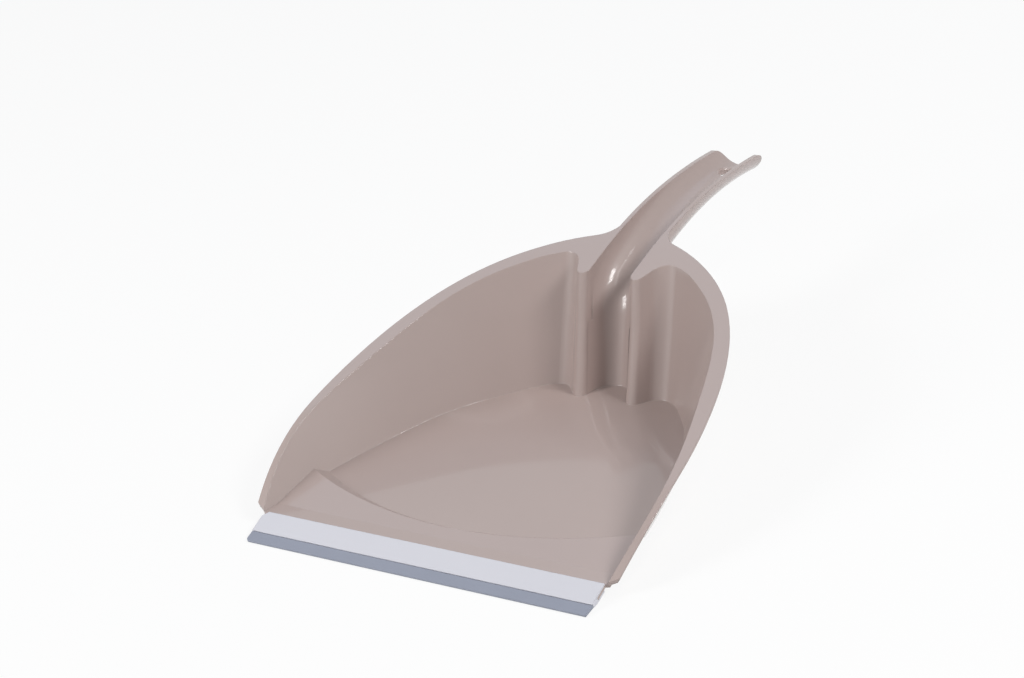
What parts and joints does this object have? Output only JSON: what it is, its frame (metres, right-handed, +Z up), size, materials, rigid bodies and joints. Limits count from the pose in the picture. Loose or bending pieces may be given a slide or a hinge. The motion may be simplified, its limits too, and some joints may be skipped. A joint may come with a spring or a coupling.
{
  "type": "dustpan",
  "caption": "Hand dustpan with rising side walls, a folded back wall that runs into a gutter handle with a hanging hole, and a push-on lip strip with a soft blade.",
  "frame": {"origin": "on the ground under the middle of the whole object", "axes": "+X along the lip, +Y from the lip to the handle's end, +Z up"},
  "size_m": [0.2256, 0.333, 0.0752],
  "materials": {
    "pan": "glossy taupe moulding",
    "lip_clip": "smooth white",
    "lip_blade": "soft satin grey"
  },
  "bodies": {
    "pan": {"pan": "pan", "lip_clip": "lip_clip"},
    "blade": {"lip_blade": "lip_blade"}
  },
  "joints": [
    {"name": "lip_flex", "type": "hinge", "parent": "pan", "child": "blade", "pos_m": [0, -0.16056, 0.00174], "axis": [-1, 0, 0], "range_deg": [-10, 35], "stiffness_Nm_per_rad": 0.05}
  ]
}
